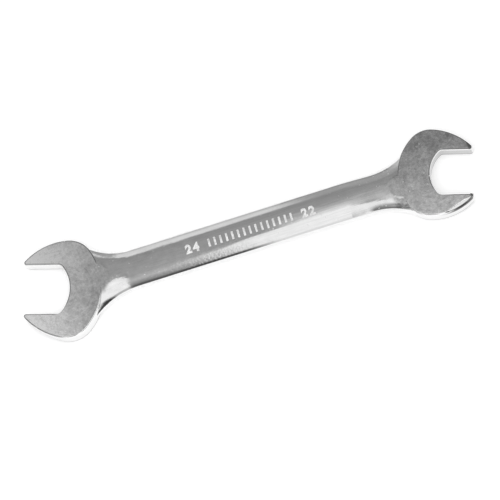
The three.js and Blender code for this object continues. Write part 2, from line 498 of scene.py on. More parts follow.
def place_blank(blank, place):
    turn = Matrix.Translation(place["centre"]) @ Matrix.Rotation(place["turn"], 4, "Z")
    blank.data.transform(turn)


def join_blanks(body, tools):
    """Joins the tools to the body and returns the new mesh. The blanks are then removed."""
    for tool in tools:
        join = body.modifiers.new("join", "BOOLEAN")
        join.operation = "UNION"
        join.solver = "EXACT"
        join.material_mode = "INDEX"
        join.object = tool
    seen = body.evaluated_get(bpy.context.evaluated_depsgraph_get())
    mesh = bpy.data.meshes.new_from_object(seen)
    for blank in (body, *tools):
        bpy.data.objects.remove(blank)
    return mesh


# Raised jaw sizes.


def crown_height(y):
    """Height of the shank's even section over its middle plane."""
    share = min(abs(y) / (SHANK_WIDTH / 2), 1)
    breadth, height = SHANK_FULLNESS
    return SHANK_THICKNESS / 2 * (1 - share**breadth) ** (1 / height)


def number_bm(figures, left=None, right=None):
    """A number with rounded strokes, lying at z = 0, from its left end or up to its right end."""
    curve = bpy.data.curves.new("number", "FONT")
    curve.body = figures
    curve.size = FIGURE_HEIGHT / FONT_FIGURE_SHARE
    curve.offset = FIGURE_STROKE
    curve.extrude = (FIGURE_PROUD + FIGURE_SUNK) / 2 - FIGURE_ROUND
    curve.bevel_depth = FIGURE_ROUND
    curve.bevel_resolution = FIGURE_ROUND_STEPS - 1
    curve.space_character = FIGURE_SPACING
    curve.resolution_u = FIGURE_CURVE_STEPS
    text = bpy.data.objects.new("number", curve)
    mesh = bpy.data.meshes.new_from_object(text)
    bpy.data.objects.remove(text)
    bpy.data.curves.remove(curve)
    bm = bmesh.new()
    bm.from_mesh(mesh)
    bpy.data.meshes.remove(mesh)
    bmesh.ops.remove_doubles(bm, verts=bm.verts, dist=FIGURE_MERGE)
    ends = [vert.co.x for vert in bm.verts]
    shift = left - min(ends) if left is not None else right - max(ends)
    heights = [vert.co.y for vert in bm.verts]
    middle = (min(heights) + max(heights)) / 2
    bmesh.ops.translate(bm, verts=bm.verts, vec=(shift, -middle, 0))
    return bm


def bar_bm(x):
    """One raised bar across the row."""
    bm = bmesh.new()
    stretch = Matrix.Diagonal((BAR_WIDTH, FIGURE_HEIGHT, FIGURE_PROUD + FIGURE_SUNK, 1))
    bmesh.ops.create_cube(bm, size=1, matrix=Matrix.Translation((x, 0, 0)) @ stretch)
    bmesh.ops.bevel(
        bm,
        geom=bm.edges[:],
        offset=FIGURE_ROUND,
        offset_type="OFFSET",
        segments=FIGURE_ROUND_STEPS,
        profile=0.5,
        affect="EDGES",
        material=-1,
    )
    return bm


def figure_row():
    """Both numbers and the bars, laid along the crown of the shank."""
    left, right = FIGURE_ROW
    pieces = [number_bm(FIGURE_LEFT, left=left), number_bm(FIGURE_RIGHT, right=right)]
    pieces += [bar_bm(mix(*BAR_ROW, step / (BAR_COUNT - 1))) for step in range(BAR_COUNT)]
    row = bmesh.new()
    for piece in pieces:
        mesh = bpy.data.meshes.new("figure")
        piece.to_mesh(mesh)
        piece.free()
        row.from_mesh(mesh)
        bpy.data.meshes.remove(mesh)
    for vert in row.verts:
        vert.co.z += crown_height(vert.co.y) + (FIGURE_PROUD - FIGURE_SUNK) / 2
    bmesh.ops.recalc_face_normals(row, faces=row.faces)
    return row


large_place = head_place(LARGE_HEAD, -1)
small_place = head_place(SMALL_HEAD, 1)
shank = blank_from(
    shank_body(neck_end(LARGE_HEAD, large_place), neck_end(SMALL_HEAD, small_place)), "shank"
)
large_plate = blank_from(head_plate(LARGE_HEAD), "large_plate")
small_plate = blank_from(head_plate(SMALL_HEAD, ground=True), "small_plate")
place_blank(large_plate, large_place)
place_blank(small_plate, small_place)
forging_mesh = join_blanks(shank, [large_plate, small_plate])
forging_mesh.name = "wrench_skin"

lowest = [min(vert.co[axis] for vert in forging_mesh.vertices) for axis in range(3)]
highest = [max(vert.co[axis] for vert in forging_mesh.vertices) for axis in range(3)]
middle = Vector(((lowest[0] + highest[0]) / 2, (lowest[1] + highest[1]) / 2, -HEAD_THICKNESS / 2))
cad_size = Vector(cad_box[1]) - Vector(cad_box[0])
fit = min(1, *(cad_size[axis] / mm / (highest[axis] - lowest[axis]) for axis in range(3)))
fit *= INSIDE_SHARE
to_frame = Matrix.Scale(fit * mm, 4) @ Matrix.Translation(-middle)
forging_mesh.transform(to_frame)
forging_mesh.shade_smooth()
forging_mesh.set_sharp_from_angle(angle=SKIN_SMOOTH_ANGLE)

# Marks for the painted highlight and painted shade of the edges: 1 on the corners of the rounded
# edges' faces, 0 elsewhere.
edge_marks = forging_mesh.attributes.new("rounded_edge", "FLOAT", "CORNER")
for polygon in forging_mesh.polygons:
    for corner in polygon.loop_indices:
        edge_marks.data[corner].value = float(polygon.material_index == ROUNDED)

wrench = bpy.data.objects.new("wrench_skin", forging_mesh)
bpy.context.scene.collection.objects.link(wrench)
even = wrench.modifiers.new("even_light", "WEIGHTED_NORMAL")
even.keep_sharp = True
even.weight = LARGE_FACE_WEIGHT

figure_mesh = bpy.data.meshes.new("raised_sizes")
figure_bm = figure_row()
figure_bm.to_mesh(figure_mesh)
figure_bm.free()
figure_mesh.transform(to_frame)
figure_mesh.shade_smooth()
figure_mesh.set_sharp_from_angle(angle=FIGURE_SMOOTH_ANGLE)
figures = bpy.data.objects.new("raised_sizes", figure_mesh)
bpy.context.scene.collection.objects.link(figures)

# Nodes. Levels say what a fade starts from and what it ends at.

RISE = (0, 1)
FALL = (1, 0)


def add_node(tree, kind, **settings):
    made = tree.nodes.new(kind)
    for name, value in settings.items():
        setattr(made, name, value)
    return made


def wire(tree, source, socket):
    """Leads another node's output into a socket, or sets it to a plain number."""
    if isinstance(source, (int, float)):
        socket.default_value = source
    else:
        tree.links.new(source, socket)


def math_node(tree, operation, *values):
    made = add_node(tree, "ShaderNodeMath", operation=operation)
    for value, socket in zip(values, made.inputs):
        wire(tree, value, socket)
    return made.outputs["Value"]


def plus(tree, first, *others):
    """The sum of several numbers."""
    for other in others:
        first = math_node(tree, "ADD", first, other)
    return first


def times(tree, first, *others):
    """The product of several numbers."""
    for other in others:
        first = math_node(tree, "MULTIPLY", first, other)
    return first


def off_zero(tree, value):
    """How far a number is from zero."""
    return math_node(tree, "ABSOLUTE", value)


def fade(tree, value, span, levels=RISE, course="SMOOTHSTEP"):
    """A step over a span of a value, from one level to another. Its course is soft or linear."""
    step = add_node(tree, "ShaderNodeMapRange", interpolation_type=course)
    names = ("Value", "From Min", "From Max", "To Min", "To Max")
    for name, source in zip(names, (value, *span, *levels)):
        wire(tree, source, step.inputs[name])
    return step.outputs["Result"]


def blend_node(tree, share, without, full):
    """A number that goes from one to another by a share."""
    blend = add_node(tree, "ShaderNodeMix", data_type="FLOAT")
    for name, source in (("Factor", share), ("A", without), ("B", full)):
        wire(tree, source, blend.inputs[name])
    return blend.outputs["Result"]


def axes(tree, place):
    """The three numbers of a place: along the wrench, across it, and up."""
    parts = add_node(tree, "ShaderNodeSeparateXYZ")
    wire(tree, place, parts.inputs["Vector"])
    return parts.outputs["X"], parts.outputs["Y"], parts.outputs["Z"]


def noise_node(tree, place, size, detail, stretch=(1, 1, 1)):
    """Noise round 0.5 with spots of a size in mm, drawn out by a stretch along each axis."""
    scale = add_node(tree, "ShaderNodeMapping")
    scale.inputs["Scale"].default_value = [1 / (size * share) for share in stretch]
    wire(tree, place, scale.inputs["Vector"])
    noise = add_node(tree, "ShaderNodeTexNoise")
    noise.inputs["Scale"].default_value = 1
    noise.inputs["Detail"].default_value = detail
    wire(tree, scale.outputs["Vector"], noise.inputs["Vector"])
    return noise.outputs["Fac"]


def unevenness(tree, place, size, detail, reach, stretch=(1, 1, 1)):
    """Noise that swings up and down round zero by its reach."""
    noise = noise_node(tree, place, size, detail, stretch)
    return times(tree, math_node(tree, "SUBTRACT", noise, 0.5), 2 * reach)


def group_with(name, inputs, outputs):
    """A new node group with number sockets, but for Place, which is a vector."""
    group = bpy.data.node_groups.new(name, "ShaderNodeTree")
    for direction, names in (("INPUT", inputs), ("OUTPUT", outputs)):
        for socket in names:
            kind = "NodeSocketVector" if socket == "Place" else "NodeSocketFloat"
            group.interface.new_socket(socket, in_out=direction, socket_type=kind)
    entry = add_node(group, "NodeGroupInput").outputs
    leave = add_node(group, "NodeGroupOutput").inputs
    return group, entry, leave


def effect(tree, group, **sources):
    """Places a group in a tree, feeds it, and gives its outputs."""
    made = add_node(tree, "ShaderNodeGroup", node_tree=group)
    for name, source in sources.items():
        wire(tree, source, made.inputs[name])
    return made.outputs


# Surfaces of the wrench. Every effect reads a place in mm: along the wrench and across it from the
# middle of both, and up from the underside. A span says where a change along one of these starts
# and where it ends. The front is where across is negative.

HEADS_ALONG = (70, 76)
GROUND_ALONG = (58, 80)
GROUND_OFF_MIDDLE = (4.3, 4.7)
WALL_OFF_MIDDLE = (3.9, 4.3)


def off_middle(tree, up):
    """How far a height is from the middle plane of the wrench."""
    return off_zero(tree, math_node(tree, "SUBTRACT", up, HEAD_THICKNESS / 2))


def ground_face_group():
    """Mask of the ground faces of the heads and necks, which fades out along the shank."""
    group, entry, leave = group_with("ground_face", ("Place",), ("Mask",))
    along, _, up = axes(group, entry["Place"])
    near_head = fade(group, off_zero(group, along), GROUND_ALONG)
    on_face = fade(group, off_middle(group, up), GROUND_OFF_MIDDLE)
    wire(group, times(group, near_head, on_face), leave["Mask"])
    return group


def side_wall_group():
    """Mask of the upright walls of the heads, which get a painted highlight: a plain level brighter
    than their faces.
    """
    group, entry, leave = group_with("side_wall", ("Place",), ("Mask",))
    along, _, up = axes(group, entry["Place"])
    on_head = fade(group, off_zero(group, along), HEADS_ALONG)
    on_wall = fade(group, off_middle(group, up), WALL_OFF_MIDDLE, FALL)
    wire(group, times(group, on_head, on_wall), leave["Mask"])
    return group


def satin_grain_group():
    """Cloudy patches and fine grain of a ground and plated face."""
    group, entry, leave = group_with("satin_grain", ("Place",), ("Tone", "Height"))
    place = entry["Place"]
    clouds = unevenness(group, place, size=5, detail=2, reach=0.30)
    spots = unevenness(group, place, size=1.4, detail=1, reach=0.28)
    grain = unevenness(group, place, size=0.5, detail=1, reach=0.22, stretch=(1.6, 0.8, 1))
    wire(group, plus(group, clouds, spots, grain), leave["Tone"])
    wire(group, plus(group, spots, grain), leave["Height"])
    return group


# The arcs' noise changes this much more slowly along the wrench than across the arcs.
ARC_CHANGE = 0.06
ARC_PATCHES = (0.42, 0.6)


def grind_arc_group():
    """Fine arcs that the grinding wheel leaves round the middle of each head."""
    group, entry, leave = group_with("grind_arc", ("Place",), ("Tone",))
    along, across, _ = axes(group, entry["Place"])
    outward = math_node(group, "SUBTRACT", off_zero(group, along), HEAD_SPACING / 2)
    squares = plus(group, times(group, outward, outward), times(group, across, across))
    lines = add_node(group, "ShaderNodeCombineXYZ")
    wire(group, math_node(group, "SQRT", squares), lines.inputs["X"])
    wire(group, times(group, along, ARC_CHANGE), lines.inputs["Y"])
    arcs = unevenness(group, lines.outputs["Vector"], size=0.9, detail=1, reach=0.22)
    patches = fade(group, noise_node(group, entry["Place"], size=9, detail=0), ARC_PATCHES)
    wire(group, times(group, arcs, patches), leave["Tone"])
    return group


# How much the painted reflection changes the tone over each head: the span, and the change at its
# start and at its end.
LARGE_HEAD_TO = (-72, -60)
LARGE_TIPS = ((-112, -76), (0.16, -0.15))
LARGE_TRAIL_JAW = ((-6, 14), (-0.02, 0.17))
SMALL_HEAD_FROM = (78, 84)
SMALL_LEAD_JAW = ((13.2, 14.6), (0, -0.12))
SMALL_RIM = ((16.5, 19.5), (0, 0.10))


def grind_pass_group():
    """Painted reflection: broad light and dark laid over the face of each head by place."""
    group, entry, leave = group_with("grind_pass", ("Place",), ("Tone",))
    along, across, _ = axes(group, entry["Place"])
    large = plus(group, fade(group, along, *LARGE_TIPS), fade(group, across, *LARGE_TRAIL_JAW))
    small = plus(group, fade(group, across, *SMALL_LEAD_JAW), fade(group, across, *SMALL_RIM))
    on_large = times(group, large, fade(group, along, LARGE_HEAD_TO, FALL))
    on_small = times(group, small, fade(group, along, SMALL_HEAD_FROM))
    wire(group, plus(group, on_large, on_small), leave["Tone"])
    return group


STREAK_TONE = 0.10
STREAK_HEIGHT = 0.25


def polish_wave_group():
    """Long waves and streaks that hand polishing leaves along the shank."""
    group, entry, leave = group_with("polish_wave", ("Place",), ("Tone", "Height"))
    place = entry["Place"]
    waves = unevenness(group, place, size=2.2, detail=1, reach=1, stretch=(7, 1, 1))
    streaks = unevenness(group, place, size=0.9, detail=2, reach=1, stretch=(14, 0.6, 0.6))
    wire(group, times(group, streaks, STREAK_TONE), leave["Tone"])
    wire(group, plus(group, waves, times(group, streaks, STREAK_HEIGHT)), leave["Height"])
    return group


MOTTLE_ALONG = ((-40, 0), (1, 0.35))
PITS_FRONT = (-5.5, -2.5)
PITS_FROM = (-57, -52)
PITS_TO = (-10, 10)


def forge_mottle_group():
    """Unevenness of the forging under the plating, strongest beside the large head."""
    group, entry, leave = group_with("forge_mottle", ("Place",), ("Tone", "Height"))
    place = entry["Place"]
    along, across, _ = axes(group, place)
    strength = fade(group, along, *MOTTLE_ALONG)
    pitted = times(
        group,
        fade(group, across, PITS_FRONT, FALL),
        fade(group, along, PITS_FROM),
        fade(group, along, PITS_TO, FALL),
    )
    spots = unevenness(group, place, size=3, detail=2, reach=0.14, stretch=(1.6, 1, 1))
    dimples = unevenness(group, place, size=1.7, detail=2, reach=1, stretch=(1.7, 1, 1))
    pits = unevenness(group, place, size=0.8, detail=1, reach=0.8, stretch=(1.4, 1, 1))
    height = plus(group, times(group, dimples, strength), times(group, pits, pitted))
    wire(group, times(group, spots, strength), leave["Tone"])
    wire(group, height, leave["Height"])
    return group


# A speck's edge is in parts of its cell. Of all cells, few are chosen, and more in the crowds.
SPECK_CELLS_PER_MM = 0.55
SPECK_EDGE = (0.05, 0.30)
SPECK_CHOICE = (0.55, 0.95)
SPECK_CROWDS = (0.46, 0.60)


def bright_speck_group():
    """Small bright specks in the plating, crowded in some places and rare in others."""
    group, entry, leave = group_with("bright_speck", ("Place",), ("Mask",))
    cells = add_node(group, "ShaderNodeTexVoronoi", feature="F1")
    cells.inputs["Scale"].default_value = SPECK_CELLS_PER_MM
    wire(group, entry["Place"], cells.inputs["Vector"])
    chance = add_node(group, "ShaderNodeSeparateColor")
    wire(group, cells.outputs["Color"], chance.inputs["Color"])
    dot = fade(group, cells.outputs["Distance"], SPECK_EDGE, FALL)
    chosen = fade(group, chance.outputs["Red"], SPECK_CHOICE)
    crowds = noise_node(group, entry["Place"], size=13, detail=0, stretch=(2, 1, 1))
    crowded = fade(group, crowds, SPECK_CROWDS)
    wire(group, times(group, dot, chosen, crowded), leave["Mask"])
    return group


# Where the rounded edges get a painted highlight instead of painted shade: along the front, short
# of the tips.
BRIGHT_EDGE_FRONT = (-10, -6)
BRIGHT_EDGE_ALONG = (94, 101)
BRIGHT_EDGE_PATCHES = ((0.26, 0.42), (0.3, 1))
SHADE_PATCHES = ((0.2, 0.45), (0.6, 1))


def edge_wear_group():
    """The rounded edges: painted shade as a greyer line, and a painted highlight along the front.
    """
    group, entry, leave = group_with("edge_wear", ("Place", "Edge"), ("Shade", "Painted Highlight"))
    along, across, _ = axes(group, entry["Place"])
    front = fade(group, across, BRIGHT_EDGE_FRONT, FALL)
    short_of_tips = fade(group, off_zero(group, along), BRIGHT_EDGE_ALONG, FALL)
    bright_edge = times(group, front, short_of_tips, entry["Edge"])
    rest = math_node(group, "SUBTRACT", entry["Edge"], bright_edge)
    bright_patches = fade(group, noise_node(group, entry["Place"], size=4, detail=2), *BRIGHT_EDGE_PATCHES)
    grey = fade(group, noise_node(group, entry["Place"], size=2.5, detail=1), *SHADE_PATCHES)
    wire(group, times(group, bright_edge, bright_patches), leave["Painted Highlight"])
    wire(group, times(group, rest, grey), leave["Shade"])
    return group


# The slot's walls are looked for this far beyond the jaw walls' faces, ahead of the root.
SLOT_ASIDE = (0.2, 0.5)
SLOT_AHEAD = (-3, 0)
SLOT_TOP = (6.8, 7.8)


def slot_wall_group():
    """Mask of the lower walls inside the small head's opening, which get painted shade: greyer than
    the outer walls.
    """
    group, entry, leave = group_with("slot_wall", ("Place",), ("Mask",))
    from_centre = add_node(group, "ShaderNodeVectorMath", operation="SUBTRACT")
    wire(group, entry["Place"], from_centre.inputs[0])
    from_centre.inputs[1].default_value = small_place["centre"] - vec(middle.x, middle.y)
    turned = add_node(group, "ShaderNodeVectorRotate", rotation_type="Z_AXIS")
    wire(group, from_centre.outputs["Vector"], turned.inputs["Vector"])
    turned.inputs["Angle"].default_value = -small_place["turn"]
    ahead, aside, up = axes(group, turned.outputs["Vector"])
    half_gap = head_layout(SMALL_HEAD)["half_gap"]
    slot_sides = [half_gap + reach for reach in SLOT_ASIDE]
    mask = times(
        group,
        fade(group, off_zero(group, aside), slot_sides, FALL),
        fade(group, ahead, SLOT_AHEAD),
        fade(group, up, SLOT_TOP, FALL),
    )
    wire(group, mask, leave["Mask"])
    return group


LOW_LINE_FRONT = (-5, -3)
LOW_LINE_FOOT = (6.15, 6.45)
LOW_LINE_TOP = (6.85, 7.3)
LOW_LINE_LEFT = ((-58, -8), (0.55, 1))
LOW_LINE_RIGHT = ((-4, 16), (0, -0.85))
WALL_FOOT_TOP = ((0.7, 1.9), (0.5, 0))


def low_line_group():
    """Mask of painted shade: a dark line on the shank's front flank, and at the foot of the heads'
    walls.
    """
    group, entry, leave = group_with("low_line", ("Place",), ("Mask",))
    along, across, up = axes(group, entry["Place"])
    on_head = fade(group, off_zero(group, along), HEADS_ALONG)
    flank = times(
        group,
        fade(group, up, LOW_LINE_TOP, FALL),
        fade(group, up, LOW_LINE_FOOT),
        fade(group, across, LOW_LINE_FRONT, FALL),
        plus(group, fade(group, along, *LOW_LINE_LEFT), fade(group, along, *LOW_LINE_RIGHT)),
    )
    foot = fade(group, up, *WALL_FOOT_TOP)
    wire(group, blend_node(group, on_head, flank, foot), leave["Mask"])
    return group


NECK_SHADE_FROM = (70.3, 72.8)
NECK_SHADE_TO = (79, 84)
NECK_SHADE_FRONT = (-6, -4.5)
NECK_SHADE_FOOT = (7.6, 8.1)
NECK_SHADE_TOP = (9.38, 9.49)
NECK_SHADE_PATCHES = ((0.3, 0.6), (0.35, 0.65))


def neck_shade_group():
    """Mask of painted shade on the patch where the small head runs out into the front of its neck.
    """
    group, entry, leave = group_with("neck_shade", ("Place",), ("Mask",))
    along, across, up = axes(group, entry["Place"])
    patches = noise_node(group, entry["Place"], size=1.6, detail=2)
    mask = times(
        group,
        fade(group, along, NECK_SHADE_FROM),
        fade(group, along, NECK_SHADE_TO, FALL),
        fade(group, across, NECK_SHADE_FRONT, FALL),
        fade(group, up, NECK_SHADE_TOP, FALL),
        fade(group, up, NECK_SHADE_FOOT),
        fade(group, patches, *NECK_SHADE_PATCHES),
    )
    wire(group, mask, leave["Mask"])
    return group


FLAT_LINE_ALONG = (89, 99)
FLAT_LINE_FRONT = (-13.5, -12.5)
FLAT_LINE_FOOT = (6.0, 6.8)
FLAT_LINE_TOP = (8.3, 8.7)
LEAD_TIP_ALONG = (111.6, 113.0)
LEAD_TIP_ACROSS = ((3, 4), (0, 0.7))
LEAD_TIP_FOOT = (8.0, 8.8)


def flat_line_group():
    """Mask of painted shade: a dark band right under the small head's ground flat, and a dark lead
    tip.
    """
    group, entry, leave = group_with("flat_line", ("Place",), ("Mask",))
    along, across, up = axes(group, entry["Place"])
    band = times(
        group,
        fade(group, along, FLAT_LINE_ALONG),
        fade(group, across, FLAT_LINE_FRONT, FALL),
        fade(group, up, FLAT_LINE_TOP, FALL),
        fade(group, up, FLAT_LINE_FOOT),
    )
    tip = times(
        group,
        fade(group, along, LEAD_TIP_ALONG),
        fade(group, across, *LEAD_TIP_ACROSS),
        fade(group, up, LEAD_TIP_FOOT),
    )
    wire(group, math_node(group, "MAXIMUM", band, tip), leave["Mask"])
    return group


GROUND_FACE = ground_face_group()
SIDE_WALL = side_wall_group()
SATIN_GRAIN = satin_grain_group()
GRIND_ARC = grind_arc_group()
PAINTED_REFLECTION = grind_pass_group()
POLISH_WAVE = polish_wave_group()
FORGE_MOTTLE = forge_mottle_group()
BRIGHT_SPECK = bright_speck_group()
EDGE_PAINTED_REFLECTION = edge_wear_group()
SLOT_PAINTED_SHADE = slot_wall_group()
LOW_PAINTED_SHADE = low_line_group()
NECK_SHADE = neck_shade_group()
FLAT_PAINTED_SHADE = flat_line_group()

# How much of the light each part of the plating gives back.
PLATE_LEVEL = 0.84
# A painted highlight on the heads' walls, and painted shade on the lower walls inside the slot.
WALL_LEVEL = 0.86
SLOT_PAINTED_SHADE_LEVEL = 0.54
# Painted shade and a painted highlight on the rounded edges. The bright specks share the
# highlight's level.
EDGE_SHADE_LEVEL = 0.38
SPECK_AND_PAINTED_HIGHLIGHT_LEVEL = 0.95
# Painted shade low on the front, under the ground flat and by the small neck.
LOW_PAINTED_SHADE_LEVEL = 0.14
FLAT_PAINTED_SHADE_LEVEL = 0.06
NECK_SHADE_LEVEL = 0.1
FIGURE_LEVEL = 0.9

# Roughness, and how much the grain and the specks add to it.
POLISHED_ROUGHNESS = 0.09
GROUND_ROUGHNESS = 0.13
GRAIN_ROUGHNESS = 0.15
SPECK_ROUGHNESS = 0.3
FIGURE_ROUGHNESS = 0.42
FIGURE_GRAIN_ROUGHNESS = 0.3

# Height of the small relief in mm.
SATIN_RELIEF = 0.012
WAVE_RELIEF = 0.016
DIMPLE_RELIEF = 0.016
FIGURE_RELIEF = 0.03

# The figures' blasted tops scatter most of the light, so they are only partly a mirror.
FIGURE_METALLIC = 0.3


def plated_material(name, metallic):
    """A new material with its node tree, its shader and the place in mm from Object coordinates."""
    material = bpy.data.materials.new(name)
    material.use_nodes = True
    tree = material.node_tree
    shader = tree.nodes["Principled BSDF"]
    shader.inputs["Metallic"].default_value = metallic
    place = add_node(tree, "ShaderNodeVectorMath", operation="SCALE")
    wire(tree, add_node(tree, "ShaderNodeTexCoord").outputs["Object"], place.inputs[0])
    place.inputs["Scale"].default_value = 1 / mm
    return material, tree, shader, place.outputs["Vector"]


def paint_grey(tree, shader, level):
    """Gives a shader a neutral colour of a brightness."""
    colour = add_node(tree, "ShaderNodeCombineColor")
    for name in ("Red", "Green", "Blue"):
        wire(tree, level, colour.inputs[name])
    wire(tree, colour.outputs["Color"], shader.inputs["Base Color"])


def raise_relief(tree, shader, height):
    """Gives a shader small relief of a height in metres."""
    bump = add_node(tree, "ShaderNodeBump")
    bump.inputs["Distance"].default_value = 1
    wire(tree, height, bump.inputs["Height"])
    wire(tree, bump.outputs["Normal"], shader.inputs["Normal"])


def chrome_plate():
    """Bright chrome: polished along the shank, satin where the heads are ground."""
    chrome, tree, shader, place = plated_material("chrome_plate", 1)
    ground = effect(tree, GROUND_FACE, Place=place)["Mask"]
    grain = effect(tree, SATIN_GRAIN, Place=place)
    wave = effect(tree, POLISH_WAVE, Place=place)
    mottle = effect(tree, FORGE_MOTTLE, Place=place)
    arcs = effect(tree, GRIND_ARC, Place=place)
    face_reflection = effect(tree, PAINTED_REFLECTION, Place=place)
    speck = effect(tree, BRIGHT_SPECK, Place=place)["Mask"]
    edge = add_node(tree, "ShaderNodeAttribute", attribute_name="rounded_edge").outputs["Fac"]
    wear = effect(tree, EDGE_PAINTED_REFLECTION, Place=place, Edge=edge)
    slot = effect(tree, SLOT_PAINTED_SHADE, Place=place)["Mask"]

    # The satin tone holds the grain, the arcs and the painted reflection over the heads.
    satin_tone_and_painted_reflection = plus(tree, grain["Tone"], arcs["Tone"], face_reflection["Tone"])
    shank_tone = plus(tree, wave["Tone"], mottle["Tone"])
    tone = blend_node(tree, ground, shank_tone, satin_tone_and_painted_reflection)
    level = times(tree, plus(tree, tone, 1), PLATE_LEVEL)
    wall_level = blend_node(tree, slot, WALL_LEVEL, SLOT_PAINTED_SHADE_LEVEL)
    # The masks below lay painted light and shade over the tone; the bright specks are the plating's
    # own.
    for mask, laid_over in (
        (effect(tree, SIDE_WALL, Place=place)["Mask"], wall_level),
        (wear["Shade"], EDGE_SHADE_LEVEL),
        (math_node(tree, "MAXIMUM", speck, wear["Painted Highlight"]), SPECK_AND_PAINTED_HIGHLIGHT_LEVEL),
        (effect(tree, LOW_PAINTED_SHADE, Place=place)["Mask"], LOW_PAINTED_SHADE_LEVEL),
        (effect(tree, FLAT_PAINTED_SHADE, Place=place)["Mask"], FLAT_PAINTED_SHADE_LEVEL),
        (effect(tree, NECK_SHADE, Place=place)["Mask"], NECK_SHADE_LEVEL),
    ):
        level = blend_node(tree, mask, level, laid_over)
    paint_grey(tree, shader, level)

    rough = plus(
        tree,
        blend_node(tree, ground, POLISHED_ROUGHNESS, GROUND_ROUGHNESS),
        times(tree, grain["Tone"], GRAIN_ROUGHNESS),
        times(tree, speck, SPECK_ROUGHNESS),
    )
    wire(tree, rough, shader.inputs["Roughness"])

    satin = times(tree, grain["Height"], SATIN_RELIEF * mm)
    polished = times(tree, wave["Height"], WAVE_RELIEF * mm)
    dimpled = times(tree, mottle["Height"], DIMPLE_RELIEF * mm)
    raise_relief(tree, shader, blend_node(tree, ground, plus(tree, polished, dimpled), satin))
    return chrome


def figure_plate():
    """The raised sizes: blasted tops under the same plating, paler than what is around them."""
    plate, tree, shader, place = plated_material("figure_plate", FIGURE_METALLIC)
    grain = effect(tree, SATIN_GRAIN, Place=place)
    paint_grey(tree, shader, times(tree, plus(tree, grain["Tone"], 1), FIGURE_LEVEL))
    rough = plus(tree, times(tree, grain["Tone"], FIGURE_GRAIN_ROUGHNESS), FIGURE_ROUGHNESS)
    wire(tree, rough, shader.inputs["Roughness"])
    raise_relief(tree, shader, times(tree, grain["Height"], FIGURE_RELIEF * mm))
    return plate


forging_mesh.materials.clear()
forging_mesh.materials.append(chrome_plate())
figure_mesh.materials.append(figure_plate())

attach(wrench, "root")
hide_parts("wrench_forging")
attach(figures, "root")


# Floor and light tent. The tent is a bowl of cloth over the wrench, its middle a little in front
# of it. Side is a place's X in mm, and lean is its angle from straight up as seen from the wrench's
# middle, towards the back where it is positive. A panel's slant turns its long edges: so many
# degrees of lean for each run of side. A program fitted the ceiling and the first eleven panels, so
# that the chrome mirrors much the same as in the photograph, and they were rounded and partly
# changed after that. The last two panels were set one by one.
TENT_RADIUS = 600
TENT_MIDDLE_Y = -200
TENT_HEM = -1
TENT_SEGMENTS = 96
TENT_RINGS = 48
TENT_CEILING = ((-1.2, 50.7), (0.389, 0.260))
SLANT_RUN = 100
PANEL_LIMITS = ("Side From", "Side To", "Side Blur", "Lean From", "Lean To", "Lean Blur")
TENT_PANELS = (
    # side from, side to, blur, lean from, lean to, blur, brightness, slant
    (-500, -157, 79, -63, 39.7, 55.5, 0.98, 12.5),
    (47.5, 143, 41.4, 22.2, 40.6, 16.2, 0.19, -9.2),
    (-173, -20.6, 25.5, -6.5, -1.65, 26.2, 0.66, 9.2),
    (-193, 7.4, 33.8, 43.8, 92.8, 6.6, 0.76, 2.95),
    (-360, 176, 80, 67, 125, 24.6, 0.54, -5.8),
    (13.9, 332, 69, 38.9, 71.2, 9.2, 0.39, 16.1),
    (-2.9, 281, 8.2, 75.6, 139, 36, 0.20, 9.35),
    (-299, 11.6, 76, -127, -45.8, 59.6, 0.20, -6.35),
    (-61.8, 299, 65.8, -112, 12, 17, 0.98, -0.3),
    (144, 403, 79, -127, -21.3, 11.8, 0.06, -13.9),
    (-388, -121, 45, -69.6, -26.8, 35, 0.21, 12.8),
    (-76, -9, 12, 6.8, 30, 4, 0.34, 11.5),
    (-9, 12, 12, 7.4, 15.5, 4, 0.58, 11.5),
)

# The floor reaches far past the camera's view. Its lift is the light that it sends to the camera
# and into the chrome over what the lamp gives it.
FLOOR_HALF = 3000
FLOOR_COLOUR = (0.62, 0.62, 0.62, 1)
FLOOR_LIFT = 0.48


def soft_window_group():
    """A group that is 1 inside a rectangle of side and lean, and fades out over its blur."""
    group, entry, leave = group_with("soft_window", ("Side", "Lean", *PANEL_LIMITS), ("Mask",))
    edges = []
    for name in ("Side", "Lean"):
        half_blur = times(group, entry[name + " Blur"], 0.5)
        for edge, levels in ((" From", RISE), (" To", FALL)):
            low = math_node(group, "SUBTRACT", entry[name + edge], half_blur)
            high = plus(group, entry[name + edge], half_blur)
            edges.append(fade(group, entry[name], (low, high), levels))
    wire(group, times(group, *edges), leave["Mask"])
    return group


def tent_cloth():
    """Glowing cloth with soft-edged panels of different brightness."""
    cloth = bpy.data.materials.new("tent_cloth")
    cloth.use_nodes = True
    tree = cloth.node_tree
    tree.nodes.clear()
    x, y, z = axes(tree, add_node(tree, "ShaderNodeTexCoord").outputs["Object"])
    side = math_node(tree, "DIVIDE", x, mm)
    lean = times(tree, math_node(tree, "ARCTAN2", y, z), 180 / math.pi)
    level = fade(tree, lean, *TENT_CEILING, course="LINEAR")
    window = soft_window_group()
    for *limits, brightness, slant in TENT_PANELS:
        slanted = times(tree, side, slant / SLANT_RUN)
        unslanted = math_node(tree, "SUBTRACT", lean, slanted)
        sources = {"Side": side, "Lean": unslanted, **dict(zip(PANEL_LIMITS, limits))}
        level = blend_node(tree, effect(tree, window, **sources)["Mask"], level, brightness)
    glow = add_node(tree, "ShaderNodeEmission")
    wire(tree, level, glow.inputs["Strength"])
    end = add_node(tree, "ShaderNodeOutputMaterial")
    wire(tree, glow.outputs["Emission"], end.inputs["Surface"])
    return cloth


def stage_piece(name, bm, material):
    mesh = bpy.data.meshes.new(name)
    bm.to_mesh(mesh)
    bm.free()
    mesh.materials.append(material)
    piece = bpy.data.objects.new(name, mesh)
    bpy.context.scene.collection.objects.link(piece)
    return piece


